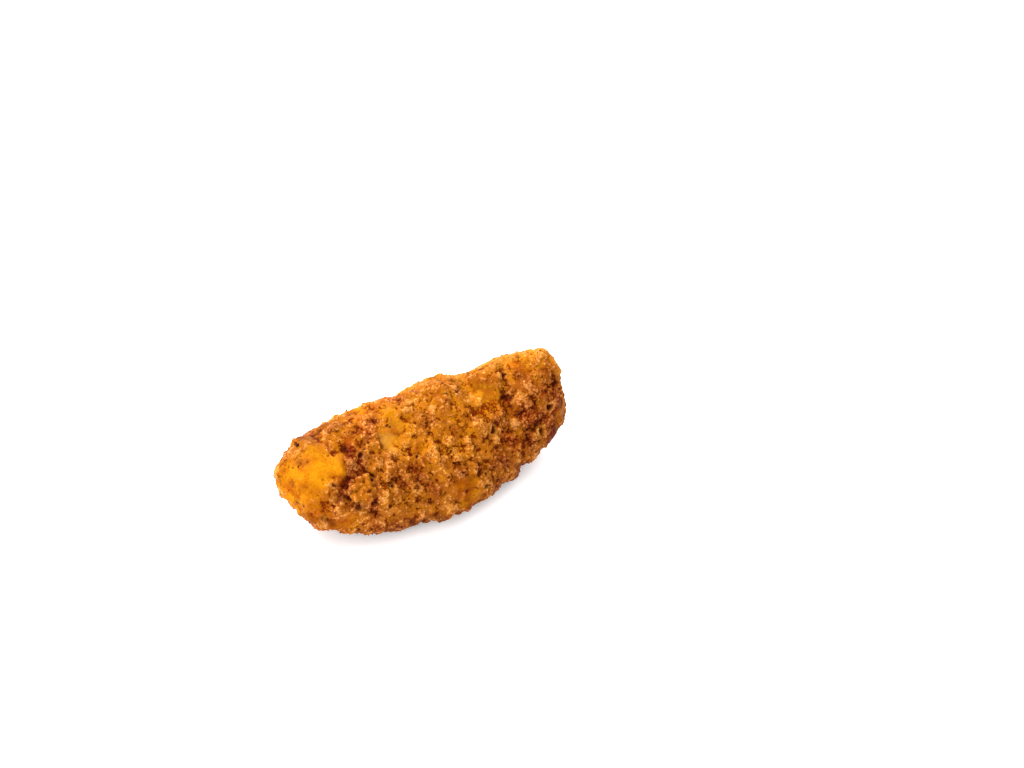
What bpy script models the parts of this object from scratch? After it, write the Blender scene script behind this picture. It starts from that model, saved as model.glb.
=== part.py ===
"""A breaded and deep-fried chicken tender, lying on its flatter side.

The strip of meat is one solid with its crust. It is a wedge in section: a broad base, a rounded ridge that
leans back, and a long flank in front. It runs along X from a narrow tip at -X to a blunt end at +X. Lobes,
creases and welts shape the strip, and the crust's crags stand on it as relief.

Sizes are in millimetres here, and the finished mesh is scaled to metres.
"""

import math
import random

import bmesh
import bpy
import numpy as np
from mathutils import Matrix, Vector, noise

MM = 0.001
SEED = 34

# The strip of meat, bare of crags. Each station gives its place along the strip from -1 to 1, the base's
# width, the ridge's height, how far the middle lies behind the long axis, and the lift of the underside.
# The ridge leans back, and so does the foot, which leaves the front flank bulging between them. Both ends
# are rounded, and a higher bluntness makes an end squarer.
STRIP_LENGTH = 98.5
STATIONS = (
    (-1.0, 36.0, 28.0, 3.2, 7.0),
    (-0.6, 46.5, 30.5, 1.6, 0.3),
    (-0.2, 47.5, 30.5, 0.5, 0.0),
    (0.2, 45.5, 30.5, 0.2, 0.0),
    (0.6, 37.5, 30.0, 1.3, 0.4),
    (1.0, 38.5, 33.5, 0.8, 4.0),
)
RIDGE_LEAN = 9.5
FOOT_SETBACK = 4.0
FOOT_FADE = 3
RIDGE_NARROWING = 0.5
SECTION_SQUARENESS = 0.85
BASE_FLATNESS = 1.2
TIP_BLUNTNESS = 2.3
END_BLUNTNESS = 3.1

# Lobes of the strip: place along it, place around it in degrees (90 is the ridge, 180 the front flank,
# 270 the underside), reach and rise, which is below zero for a hollow.
LOBES = (
    (-0.80, 140, 9.0, 1.4),
    (-0.97, 150, 6.0, -1.4),
    (-0.80, 220, 8.0, 1.4),
    (-0.22, 92, 8.0, 1.9),
    (-0.74, 75, 7.0, 1.3),
    (0.18, 80, 7.0, 1.7),
    (0.57, 90, 7.0, 1.1),
    (0.90, 108, 8.0, 0.7),
    (0.46, 222, 4.5, 1.3),
    (0.84, 214, 9.0, 0.5),
    (0.05, 210, 11.0, 1.2),
    (0.25, 20, 12.0, 1.6),
    (-0.45, 30, 10.0, 1.2),
)

# Creases, and welts where the batter folded: where each begins and ends, along and around, its half width
# and its rise, which is below zero for a crease.
LINES = (
    ((0.38, 40), (0.36, 104), 3.0, -2.4),
    ((0.64, 104), (0.56, 150), 2.2, -1.6),
    ((0.56, 150), (0.44, 174), 2.2, -1.1),
    ((-0.58, 108), (-0.62, 92), 2.2, -1.0),
    ((-0.66, 118), (-0.84, 60), 1.6, -0.7),
    ((0.58, 238), (0.52, 212), 2.6, -1.5),
    ((-0.15, 60), (-0.05, -20), 5.0, -1.6),
    ((0.50, 50), (0.45, -20), 4.0, -1.3),
    ((0.76, 118), (0.88, 102), 1.3, 1.1),
    ((0.88, 102), (0.95, 128), 1.3, 1.1),
    ((0.95, 128), (0.92, 158), 1.3, 0.9),
)

# Places where the batter is bare and smooth: along, around and radius.
SMOOTH_PATCHES = (
    (-0.81, 148, 11.0),
    (-0.66, 80, 5.5),
    (-0.26, 122, 5.0),
    (0.41, 124, 6.0),
)

# The crust's crags are clumps of flour and batter. The largest few are placed by hand: along, around and
# radius. The rest are drawn: they crowd together in clusters, and thin out between them.
LARGEST_CRAGS = (
    (-0.57, 168, 3.6),
    (0.46, 226, 3.2),
    (-0.37, 152, 3.0),
    (0.12, 176, 2.9),
    (0.70, 150, 3.0),
    (-0.10, 206, 3.0),
    (0.05, 20, 3.3),
    (-0.55, 350, 3.2),
    (0.62, 10, 3.0),
)
CRAG_RADIUS_LEAST = 1.3
CRAG_RADIUS_MOST = 3.3
CRAG_SKEW = 1.7
CRAG_SPACING_OF_RADII = 0.78
CRAG_LENGTHS = (0.85, 1.45)
CRAG_WIDTHS = (0.70, 1.10)
CRAG_HEIGHTS = (0.50, 0.85)
CRAG_SEATS = (-0.30, 0.10)
CRAG_BUMPS = ((1.1, 0.38), (2.6, 0.20))
CRAG_TRIES = 12000
CLUSTER_SIZE = 9.0
CLUSTER_FLOOR = 0.40
PATCH_CRAGS_KEPT = 0.008

# The mesh: how finely the strip and its crags begin, how finely they are fused into one skin, how many
# triangles are kept, and how far up from its lowest point the skin is cut level to rest.
BALL_SUBDIVISIONS = 6
CRAG_SUBDIVISIONS = 2
NOISE_REACH = 50.0
FUSING_VOXEL = 0.55
NODE_TRIANGLES = 11200
REST_CUT = 1.0
LEAST_GAP = 0.03


def clear_scene():
    for thing in list(bpy.data.objects):
        bpy.data.objects.remove(thing, do_unlink=True)


def station_values(along):
    """Width, height, shift and lift at each place, on a smooth curve through the stations."""
    table = np.array(STATIONS)
    places, values = table[:, 0], table[:, 1:]
    last = len(places) - 1
    start = np.clip(np.searchsorted(places, along) - 1, 0, last - 1)
    share = ((along - places[start]) / (places[start + 1] - places[start]))[:, None]
    before, after = values[np.clip(start - 1, 0, last)], values[np.clip(start + 2, 0, last)]
    low, high = values[start], values[start + 1]
    return 0.5 * (
        2 * low
        + (high - before) * share
        + (2 * before - 5 * low + 4 * high - after) * share**2
        + (3 * low - before - 3 * high + after) * share**3
    )


def strip_points(along, around):
    """Points of the bare strip. around is in radians, 0 at the back and a quarter turn at the ridge."""
    width, height, shift, lift = station_values(along).T
    bluntness = np.where(along < 0, TIP_BLUNTNESS, END_BLUNTNESS)
    fullness = np.clip(1 - np.abs(along) ** bluntness, 0, 1) ** (1 / bluntness)
    across = np.sign(np.cos(around)) * np.abs(np.cos(around)) ** SECTION_SQUARENESS
    upward = np.sign(np.sin(around)) * np.abs(np.sin(around)) ** SECTION_SQUARENESS
    rise = ((1 + upward * fullness) / 2) ** BASE_FLATNESS
    y = shift + width / 2 * fullness * across * (1 - RIDGE_NARROWING * rise)
    y += RIDGE_LEAN * rise + FOOT_SETBACK * (1 - rise) ** FOOT_FADE
    return np.column_stack([along * STRIP_LENGTH / 2, y, lift + height * rise])


def place_on_strip(along, around_degrees):
    point = strip_points(np.array([along]), np.radians([around_degrees]))[0]
    return Vector(point)


def distance_to_line(point, start, end):
    run = end - start
    share = max(0.0, min(1.0, (point - start).dot(run) / run.length_squared))
    return (point - start - run * share).length


def bell(distance, reach):
    """1 at a centre, falling smoothly to almost nothing at twice the reach."""
    return math.exp(-((distance / reach) ** 2))


def make_strip():
    """A sphere drawn out into the strip, then raised by its lobes and welts and sunk by its creases."""
    strip = bmesh.new()
    bmesh.ops.create_icosphere(strip, subdivisions=BALL_SUBDIVISIONS, radius=1.0)
    ball = np.array([vert.co for vert in strip.verts])
    along = np.clip(ball[:, 0], -1, 1)
    around = np.arctan2(ball[:, 2], ball[:, 1])
    for vert, point in zip(strip.verts, strip_points(along, around)):
        vert.co = point
    strip.normal_update()
    lobes = [(place_on_strip(at, turn), reach, rise) for at, turn, reach, rise in LOBES]
    lines = [(place_on_strip(*start), place_on_strip(*end), half, rise) for start, end, half, rise in LINES]
    moves = []
    for vert in strip.verts:
        move = sum(rise * bell((vert.co - centre).length, reach) for centre, reach, rise in lobes)
        move += sum(
            rise * bell(distance_to_line(vert.co, start, end), half) for start, end, half, rise in lines
        )
        moves.append(vert.normal * move)
    for vert, move in zip(strip.verts, moves):
        vert.co += move
    strip.normal_update()
    return strip


def crag_sites(strip, draw):
    """Places for the crags as (point, normal, radius), well apart, and few on bare batter."""
    patches = [(place_on_strip(at, turn), radius) for at, turn, radius in SMOOTH_PATCHES]
    faces = list(strip.faces)
    areas = [face.calc_area() for face in faces]
    sites = []
    for at, turn, radius in LARGEST_CRAGS:
        place = place_on_strip(at, turn)
        face = min(faces, key=lambda one: (one.calc_center_median() - place).length_squared)
        sites.append((face.calc_center_median(), face.normal.copy(), radius))
    for face in draw.choices(faces, weights=areas, k=CRAG_TRIES):
        point = face.calc_center_median()
        cluster = 0.5 + 0.5 * noise.noise(point / CLUSTER_SIZE)
        size = min(draw.random() ** CRAG_SKEW * (CLUSTER_FLOOR + cluster), 1)
        radius = CRAG_RADIUS_LEAST + (CRAG_RADIUS_MOST - CRAG_RADIUS_LEAST) * size
        bare = any((point - centre).length < reach for centre, reach in patches)
        chance = PATCH_CRAGS_KEPT if bare else CLUSTER_FLOOR + (1 - CLUSTER_FLOOR) * cluster
        wanted = draw.random() < chance
        crowded = wanted and any(
            (point - other).length < CRAG_SPACING_OF_RADII * (radius + other_radius)
            for other, _, other_radius in sites
        )
        if wanted and not crowded:
            sites.append((point, face.normal.copy(), radius))
    return sites


def add_crag(crust, site, draw):
    """One uneven lump, wider than it is high and partly sunk in the strip."""
    point, normal, radius = site
    lump = bmesh.ops.create_icosphere(crust, subdivisions=CRAG_SUBDIVISIONS, radius=1.0)["verts"]
    offset = Vector([draw.uniform(-NOISE_REACH, NOISE_REACH) for _ in range(3)])
    for vert in lump:
        vert.co *= 1 + sum(depth * noise.noise(vert.co * scale + offset) for scale, depth in CRAG_BUMPS)
    sides = [draw.uniform(*limits) for limits in (CRAG_LENGTHS, CRAG_WIDTHS, CRAG_HEIGHTS)]
    turn = Vector((0, 0, 1)).rotation_difference(normal).to_matrix().to_4x4()
    spin = Matrix.Rotation(draw.uniform(0, 2 * math.pi), 4, "Z")
    centre = point + normal * radius * draw.uniform(*CRAG_SEATS)
    place = Matrix.Translation(centre) @ turn @ spin @ Matrix.Diagonal((*sides, 1)) @ Matrix.Scale(radius, 4)
    bmesh.ops.transform(crust, matrix=place, verts=lump)


def applied(thing):
    """The mesh of an object as its modifiers leave it."""
    bpy.context.view_layer.update()
    graph = bpy.context.evaluated_depsgraph_get()
    return bpy.data.meshes.new_from_object(thing.evaluated_get(graph))


def fused(mesh):
    """One skin over the strip and its crags, thinned to the node's triangles."""
    helper = bpy.data.objects.new("crust_helper", mesh)
    bpy.context.scene.collection.objects.link(helper)
    remesh = helper.modifiers.new("fuse", "REMESH")
    remesh.mode = "VOXEL"
    remesh.voxel_size = FUSING_VOXEL
    thick = applied(helper)
    helper.modifiers.clear()
    helper.data = thick
    triangles = 2 * len(thick.polygons)
    thin = helper.modifiers.new("thin", "DECIMATE")
    thin.ratio = NODE_TRIANGLES / triangles
    thin.use_collapse_triangulate = True
    result = applied(helper)
    bpy.data.objects.remove(helper, do_unlink=True)
    return result


def drop_scraps(skin):
    """Keeps the largest connected piece of the mesh."""
    unseen = set(skin.verts)
    islands = []
    while unseen:
        front = [unseen.pop()]
        island = set(front)
        while front:
            for edge in front.pop().link_edges:
                for vert in edge.verts:
                    if vert in unseen:
                        unseen.remove(vert)
                        island.add(vert)
                        front.append(vert)
        islands.append(island)
    largest = max(islands, key=len)
    loose = [vert for island in islands if island is not largest for vert in island]
    bmesh.ops.delete(skin, geom=loose, context="VERTS")


def flatten_rest(skin):
    """Cuts the lowest crags level, so that the tender rests on flat spots."""
    level = min(vert.co.z for vert in skin.verts) + REST_CUT
    everything = list(skin.verts) + list(skin.edges) + list(skin.faces)
    bmesh.ops.bisect_plane(
        skin,
        geom=everything,
        dist=LEAST_GAP,
        plane_co=(0, 0, level),
        plane_no=(0, 0, -1),
        clear_outer=True,
    )
    for vert in skin.verts:
        if vert.co.z < level + LEAST_GAP:
            vert.co.z = level
    rim = [edge for edge in skin.edges if edge.is_boundary]
    bmesh.ops.holes_fill(skin, edges=rim, sides=0)
    bmesh.ops.triangulate(skin, faces=skin.faces[:])


def centre_on_base(skin):
    low = Vector([min(vert.co[axis] for vert in skin.verts) for axis in range(3)])
    high = Vector([max(vert.co[axis] for vert in skin.verts) for axis in range(3)])
    foot = Vector(((low.x + high.x) / 2, (low.y + high.y) / 2, low.z))
    bmesh.ops.translate(skin, verts=skin.verts, vec=-foot)


def fried_crust_material():
    material = bpy.data.materials.new("fried_crust")
    material.use_nodes = True
    shader = material.node_tree.nodes["Principled BSDF"]
    shader.inputs["Base Color"].default_value = (0.50, 0.20, 0.035, 1)
    shader.inputs["Roughness"].default_value = 0.5
    return material


def make_tender():
    draw = random.Random(SEED)
    strip = make_strip()
    sites = crag_sites(strip, draw)
    for site in sites:
        add_crag(strip, site, draw)
    rough = bpy.data.meshes.new("crust_rough")
    strip.to_mesh(rough)
    strip.free()
    skin = bmesh.new()
    skin.from_mesh(fused(rough))
    drop_scraps(skin)
    flatten_rest(skin)
    centre_on_base(skin)
    bmesh.ops.scale(skin, vec=(MM, MM, MM), verts=skin.verts)
    mesh = bpy.data.meshes.new("chicken_tender")
    skin.to_mesh(mesh)
    skin.free()
    tender = bpy.data.objects.new("chicken_tender", mesh)
    tender.data.materials.append(fried_crust_material())
    tender.data.shade_smooth()
    collection = bpy.data.collections.new("chicken_tender")
    bpy.context.scene.collection.children.link(collection)
    collection.objects.link(tender)
    return tender


clear_scene()
make_tender()
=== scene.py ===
"""A breaded and deep-fried chicken tender on a white table, in soft studio light."""

import math

import bmesh
import bpy
import numpy as np
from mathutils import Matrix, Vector, kdtree, noise


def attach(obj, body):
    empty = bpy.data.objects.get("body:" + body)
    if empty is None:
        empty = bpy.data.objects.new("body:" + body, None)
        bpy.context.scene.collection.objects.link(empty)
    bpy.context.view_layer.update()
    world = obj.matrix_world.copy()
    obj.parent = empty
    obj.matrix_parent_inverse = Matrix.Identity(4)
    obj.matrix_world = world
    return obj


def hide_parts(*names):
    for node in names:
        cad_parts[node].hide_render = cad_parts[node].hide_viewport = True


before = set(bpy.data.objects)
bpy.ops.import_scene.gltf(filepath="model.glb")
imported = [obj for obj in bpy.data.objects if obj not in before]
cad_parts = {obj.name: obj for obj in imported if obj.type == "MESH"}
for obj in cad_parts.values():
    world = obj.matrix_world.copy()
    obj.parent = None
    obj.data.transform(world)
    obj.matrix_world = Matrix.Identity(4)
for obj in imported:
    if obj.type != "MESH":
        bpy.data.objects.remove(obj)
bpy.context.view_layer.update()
MM = 0.001

# The crust. A skin of flour and batter that swells into knobbly crags as it fries, with bare, smooth
# batter where the flour fell off. It follows the solid of the strip, with finer knobs melted into it.

KNOB_SEED = 5
KNOB_KINDS = 14
KNOB_BUMPS = ((1.0, 0.42), (2.3, 0.26))  # how close together, how deep
KNOB_TRIES = 700
KNOB_RADII = (0.8, 1.8)
KNOB_APART = 1.9
KNOB_SIDES = ((0.9, 1.5), (0.70, 1.1), (0.45, 0.8))
KNOB_SEAT = (-0.95, -0.55)
KNOB_TILT = 0.5
KNOB_STRAY = 0.4
KNOB_FLOOR = (5.0, 11.0)
KNOB_TIP = (-46.0, -40.0)
CRUST_VOXEL = 0.30
CRUST_TRIANGLES = 192000
WELD = 0.01

# Bare batter: middle of each patch in millimetres, its radius, how bare it is, how pale.
PATCHES = (
    ((-38.5, -1.5, 27.2), 4.4, 1.0, 0.0),
    ((-41.0, -2.6, 25.2), 4.4, 1.0, 0.0),
    ((-43.5, -3.8, 22.7), 3.4, 0.80, 0.0),
    ((-36.8, 3.3, 29.2), 2.6, 0.85, 0.0),
    ((-34.0, -3.5, 26.2), 3.0, 1.0, 0.0),
    ((-32.0, -2.5, 26.7), 2.0, 0.9, 0.0),
    ((-33.0, -6.2, 23.6), 1.6, 0.8, 0.0),
    ((-46.0, 2.0, 25.0), 4.5, 0.38, 0.0),
    ((-47.5, -3.0, 18.5), 4.5, 0.40, 0.0),
    ((-43.5, -7.0, 15.5), 3.5, 0.25, 0.0),
    ((-15.7, -2.8, 28.7), 1.7, 0.85, 0.65),
    ((-16.3, -4.6, 27.6), 1.1, 0.85, 0.5),
    ((-10.8, -1.3, 30.4), 2.7, 0.85, 0.15),
    ((-12.5, -3.7, 28.4), 1.4, 0.85, 0.15),
    ((-6.3, -0.1, 31.0), 1.4, 0.6, 0.0),
    ((22.2, -0.1, 28.6), 3.4, 0.50, 0.08),
    ((19.5, 2.5, 30.0), 2.6, 0.50, 0.0),
    ((26.0, -1.4, 26.9), 1.6, 0.6, 0.08),
    ((37.0, 1.8, 31.2), 2.6, 0.6, 0.0),
    ((46.0, 0.9, 30.3), 2.2, 0.5, 0.0),
    ((-38.5, -11.5, 12.0), 2.2, 0.7, 0.0),
    ((-35.2, -12.8, 12.1), 1.7, 0.8, 0.0),
    ((-28.9, -1.9, 27.1), 1.6, 0.9, 0.0),
    ((-26.4, 1.7, 29.0), 1.5, 0.85, 0.0),
    ((-7.0, -8.3, 24.7), 1.4, 0.9, 0.0),
    ((4.5, -18.3, 13.5), 2.2, 0.85, 0.0),
    ((1.3, -18.8, 14.0), 1.8, 0.85, 0.0),
    ((44.5, -9.0, 17.2), 4.0, 0.30, 0.0),
    ((41.0, -11.8, 10.0), 4.5, 0.45, 0.0),
    ((4.0, -21.0, 9.0), 3.0, 0.85, 0.0),
    ((-37.0, 9.5, 29.0), 2.6, 0.45, 0.0),
    ((-29.5, 12.0, 30.0), 2.2, 0.40, 0.0),
    ((-18.1, 10.3, 31.0), 2.5, 0.35, 0.0),
    ((-11.5, 3.5, 33.5), 2.2, 0.50, 0.0),
    ((5.0, 2.5, 32.5), 2.5, 0.30, 0.0),
)
PATCH_EDGE = 1.0
PATCH_WANDER = 1.4
PATCH_GRAIN = 2.2

# Browning: middle of each place in millimetres, how far it reaches, and how brown it is from 0 to 1.
BROWNING = (
    ((-39.5, -1.8, 26.5), 5.0, 0.0),
    ((-43.5, -3.8, 22.7), 4.5, 0.02),
    ((-47.0, 2.0, 24.0), 4.5, 0.12),
    ((-48.0, -3.0, 19.0), 4.0, 0.14),
    ((-41.0, -9.0, 11.0), 6.0, 0.50),
    ((-36.0, 12.0, 27.5), 5.0, 0.90),
    ((-44.5, 9.0, 25.0), 4.0, 0.50),
    ((-43.0, 1.5, 27.5), 1.8, 0.40),
    ((-30.3, 11.8, 30.3), 4.8, 1.0),
    ((-32.0, 6.5, 29.0), 4.0, 0.02),
    ((-29.3, 2.3, 28.5), 3.3, 0.20),
    ((-28.5, -3.8, 27.0), 3.7, 0.92),
    ((-39.5, -9.3, 17.5), 2.8, 0.20),
    ((-30.0, -11.0, 19.0), 5.0, 0.80),
    ((-21.0, 4.0, 31.0), 6.0, 0.38),
    ((-19.2, 0.8, 30.9), 3.6, 1.0),
    ((-14.0, 10.8, 32.6), 3.5, 0.0),
    ((-12.0, -2.5, 29.5), 4.5, 0.0),
    ((-11.0, -1.5, 30.0), 3.5, 0.0),
    ((-20.0, -17.0, 12.0), 9.0, 0.52),
    ((-7.0, -9.0, 24.0), 5.0, 0.42),
    ((-10.8, -8.3, 25.3), 3.0, 0.15),
    ((-2.3, -7.2, 25.7), 4.0, 0.35),
    ((0.0, 5.0, 32.5), 7.0, 0.25),
    ((7.0, -4.0, 29.0), 6.0, 0.35),
    ((0.0, -18.0, 13.0), 9.0, 0.50),
    ((13.0, 0.0, 30.0), 5.0, 0.25),
    ((21.0, 0.5, 29.0), 6.0, 0.26),
    ((21.0, -11.0, 18.0), 6.0, 0.57),
    ((37.0, 3.0, 31.5), 6.0, 0.36),
    ((33.0, -3.0, 25.5), 4.5, 0.62),
    ((24.0, -1.7, 26.6), 3.6, 0.0),
    ((18.5, -3.5, 26.5), 3.2, 0.15),
    ((26.3, -4.9, 22.0), 2.6, 0.22),
    ((35.0, 6.8, 31.6), 3.0, 0.0),
    ((28.5, -9.5, 19.0), 3.5, 0.95),
    ((13.5, -13.0, 18.8), 3.2, 0.15),
    ((36.0, -7.0, 20.0), 8.5, 1.0),
    ((45.0, -8.5, 16.5), 5.0, 0.62),
    ((12.5, -18.0, 10.5), 6.0, 0.78),
    ((-37.0, 8.5, 29.5), 3.0, 0.55),
    ((-11.9, 2.2, 33.5), 3.5, 0.50),
    ((3.0, 1.0, 31.7), 3.8, 0.60),
    ((-15.0, -16.0, 16.5), 4.5, 0.76),
    ((-6.0, -17.3, 16.6), 3.8, 1.0),
    ((-31.0, -15.0, 11.0), 4.0, 0.50),
    ((37.6, -3.9, 26.9), 3.0, 0.55),
    ((0.0, -20.5, 10.5), 4.0, 0.38),
    ((4.5, -21.0, 8.5), 3.0, 0.0),
    ((-16.0, -19.0, 8.5), 2.5, 0.1),
    ((0.0, 16.0, 18.0), 26.0, 0.55),
)

# Reddening: middle of each place in millimetres, how far it reaches, and how much.
REDDENING = (
    ((-18.7, 8.0, 31.7), 3.5, 0.7), ((-19.1, 1.9, 31.2), 3.5, 0.7), ((-7.1, 8.6, 32.6), 2.5, 0.9),
    ((-26.0, 0.5, 28.5), 3.0, 0.6), ((-43.0, -7.5, 15.5), 3.0, 0.8), ((-35.5, -12.8, 12.1), 4.0, 0.8),
    ((-6.3, -18.0, 15.3), 3.0, 0.6), ((-2.0, -17.5, 15.2), 2.0, 0.9), ((1.5, -18.8, 14.0), 3.0, 0.6),
    ((33.9, 4.4, 30.8), 2.0, 0.9), ((30.2, 3.6, 29.2), 2.0, 0.8), ((26.3, -3.5, 23.4), 2.5, 0.4),
    ((23.2, -11.5, 17.7), 3.0, 0.9), ((25.5, -12.4, 14.4), 3.0, 0.8), ((31.0, -8.7, 19.8), 2.5, 0.7),
    ((-33.5, -7.5, 21.5), 2.5, 0.6), ((-48.0, 0.5, 21.0), 3.0, 0.45), ((-43.0, 1.5, 27.5), 2.5, 0.7),
    ((-46.5, 4.0, 25.5), 2.5, 0.35), ((46.0, 0.9, 30.3), 2.5, 0.5), ((5.0, 2.0, 32.0), 3.0, 0.4),
    ((-7.0, -8.3, 24.7), 1.8, 0.6), ((-12.0, -14.5, 18.5), 2.5, 0.5), ((3.0, -17.0, 16.7), 2.0, 0.6),
    ((-29.0, -15.5, 10.0), 4.0, 0.4), ((-12.0, 9.0, 32.5), 4.0, 0.6), ((-28.0, -3.0, 26.5), 3.5, 0.7),
    ((-30.0, 12.0, 29.0), 4.0, 0.4), ((38.0, -2.0, 27.0), 6.0, 0.4), ((40.0, -8.0, 19.0), 7.0, 0.45),
    ((-34.0, 12.5, 28.0), 3.5, 0.4),
)

# Stains: middle of each in millimetres, radius, and how dark.
STAINS = (
    ((-42.5, 2.1, 28.4), 1.25, 0.85), ((-40.7, 1.7, 28.4), 0.6, 0.84),
    ((-33.2, 12.8, 27.8), 0.72, 0.72), ((-46.8, 0.5, 22.7), 0.96, 0.66),
    ((-47.2, -2.3, 17.6), 0.6, 0.84), ((-46.7, -5.3, 18.0), 0.54, 0.96),
    ((-36.5, -6.8, 23.1), 0.8, 0.75), ((-38.2, -8.2, 20.0), 1.08, 0.6),
    ((-42.0, -8.7, 13.7), 0.96, 0.84), ((-31.2, 0.1, 27.8), 1.08, 0.84),
    ((-37.2, -3.4, 26.0), 0.42, 0.48), ((-38.9, -4.8, 24.4), 0.42, 0.84),
    ((-45.6, 4.0, 26.7), 0.42, 0.84), ((-45.0, 2.7, 26.6), 0.48, 0.96),
    ((-24.8, -3.3, 26.7), 1.08, 0.72), ((12.0, 2.0, 31.7), 0.96, 0.72),
    ((3.7, -4.6, 28.1), 0.96, 0.72), ((-11.5, -14.0, 18.8), 1.2, 0.84),
    ((-12.5, -3.7, 28.4), 0.6, 0.72), ((-9.5, -20.3, 7.5), 1.3, 0.7), ((-7.4, -21.0, 6.1), 2.0, 0.9),
    ((-21.6, -18.7, 8.0), 1.56, 0.84), ((-35.5, -9.0, 19.0), 1.2, 0.72),
    ((2.9, -17.1, 16.7), 1.08, 0.84),
)

# Folds: points along each in millimetres, half width, rise, and how much browner and paler it is.
# Browner in a sunken fold is painted shade; less brown and paler on a ridge or along the top rim is painted
# light.
FOLDS = (
    (((31.4, 6.5, 32.5), (30.2, 2.6, 30.2), (27.6, -2.0, 26.0)), 0.9, -0.65, 0.35, 0.0),
    (((27.6, -2.0, 26.0), (22.1, -9.8, 19.5)), 0.8, -0.3, 0.15, 0.0),
    (((-28.8, 1.0, 28.4), (-29.6, -5.2, 25.0), (-33.0, -8.2, 21.4), (-38.0, -9.2, 17.0)),
     0.9, -0.45, 0.38, 0.0),
    (((-31.5, -0.5, 27.5), (-32.8, -4.5, 25.2)), 1.3, 0.9, -0.5, 0.0),
    (((-33.0, 2.5, 29.0), (-30.0, 7.0, 30.4), (-27.0, 8.4, 31.0)), 0.8, -0.5, 0.35, 0.0),
    (((-46.0, 9.0, 24.0), (-40.0, 12.0, 26.5), (-33.0, 13.6, 28.5), (-22.0, 13.0, 31.0)),
     0.9, 0.2, 0.0, 0.0),
    (((-26.0, 15.5, 28.0), (-18.0, 14.5, 29.5), (-9.0, 12.0, 31.0), (0.0, 12.8, 30.0)),
     1.7, 0.0, -0.45, 0.25),
    (((0.0, 12.8, 30.0), (9.0, 13.0, 30.5), (15.0, 10.0, 31.2), (23.0, 12.0, 28.0)),
     1.7, 0.0, -0.45, 0.25),
    (((23.0, 12.0, 28.0), (33.0, 9.5, 31.0), (43.0, 8.5, 31.0), (46.1, 4.5, 32.0)),
     1.7, 0.0, -0.55, 0.6),
    (((28.0, 6.5, 31.5), (34.0, 7.5, 32.0), (40.0, 6.5, 32.5)), 1.5, 0.0, -0.3, 0.4),
    (((36.0, 8.5, 32.0), (42.0, 5.0, 33.0), (46.5, 0.0, 30.5), (47.0, -5.0, 26.5)),
     0.9, 0.4, -0.3, 0.5),
    (((-2.3, -7.2, 25.7), (-3.6, -12.8, 21.8), (-3.5, -15.0, 19.3), (-1.1, -16.0, 17.8)),
     0.8, 0.55, -0.25, 0.15),
    (((4.5, -12.0, 21.5), (6.7, -14.3, 18.7), (6.0, -16.5, 16.0)), 0.6, 0.5, -0.2, 0.1),
    (((-20.0, 7.0, 33.0), (-19.0, -2.0, 29.0), (-17.0, -9.0, 24.0)), 0.9, 0.3, -0.1, 0.0),
    (((-33.0, -7.8, 21.8), (-33.8, -11.0, 18.2), (-31.0, -12.8, 16.4), (-27.0, -14.5, 16.8)),
     0.8, -0.45, 0.32, 0.0),
    (((-27.0, -14.5, 16.8), (-24.2, -13.3, 19.0), (-24.0, -10.0, 21.5), (-26.0, -6.6, 24.0)),
     0.7, -0.4, 0.30, 0.0),
    (((-16.5, 4.0, 32.0), (-17.5, -3.0, 28.5), (-16.0, -9.0, 24.0)), 0.7, -0.4, 0.25, 0.0),
    (((9.5, -8.0, 24.0), (10.0, -13.0, 19.5), (9.0, -17.0, 14.0)), 0.8, -0.45, 0.3, 0.0),
)
FOLD_WANDER = 1.1
FOLD_GRAIN = 3.5

# Swells: middle of each in millimetres, how far it reaches, and how far the crust stands out or sinks in.
SWELLS = (
    ((4.9, 14.9, 32.7), 3.2, -1.9), ((45.8, 2.9, 31.4), 3.6, 1.8), ((48.2, -5.8, 22.3), 3.6, -1.3),
    ((21.5, -14.5, 1.8), 3.4, -1.4), ((14.3, -17.8, 3.5), 2.5, -0.4), ((-45.7, 11.2, 25.0), 3.8, -1.4),
    ((-49.3, 5.0, 16.6), 3.2, -0.9), ((-44.0, -5.2, 10.0), 3.6, 0.7), ((-22.1, 16.6, 28.6), 2.6, -0.7),
    ((-10.0, 12.2, 31.0), 4.5, 0.9), ((24.0, -0.8, 27.8), 3.6, -0.8), ((20.5, 11.5, 29.8), 2.4, -0.9),
    ((26.5, -13.6, 4.5), 2.4, 0.8),
)


def smooth_share(value):
    value = np.clip(value, 0, 1)
    return value * value * (3 - 2 * value)


def between(places, limits):
    """From 0 to 1 as places in metres go from the first limit to the second, in millimetres."""
    return smooth_share((places / MM - limits[0]) / (limits[1] - limits[0]))


def rough_field(points, grain, octaves=2, shift=0.0):
    """Noise from about -1 to 1 at each point, for points in metres and a grain in millimetres."""
    scale = 1 / (grain * MM)
    lift = Vector((shift, -shift, 0.5 * shift))
    return np.array([noise.fractal(Vector(p) * scale + lift, 1.0, 2.0, octaves) for p in points])


def bareness(points):
    """How bare each point is and how pale, both from 0 to 1."""
    wander = PATCH_WANDER * rough_field(points, PATCH_GRAIN, 3)
    bare = np.zeros(len(points))
    pale = np.zeros(len(points))
    for middle, radius, amount, paleness in PATCHES:
        away = np.linalg.norm(points / MM - middle, axis=1)
        inside = smooth_share((radius - away + wander) / PATCH_EDGE + 0.5)
        bare = np.maximum(bare, inside * amount)
        pale = np.maximum(pale, inside * paleness)
    return bare, pale


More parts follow.
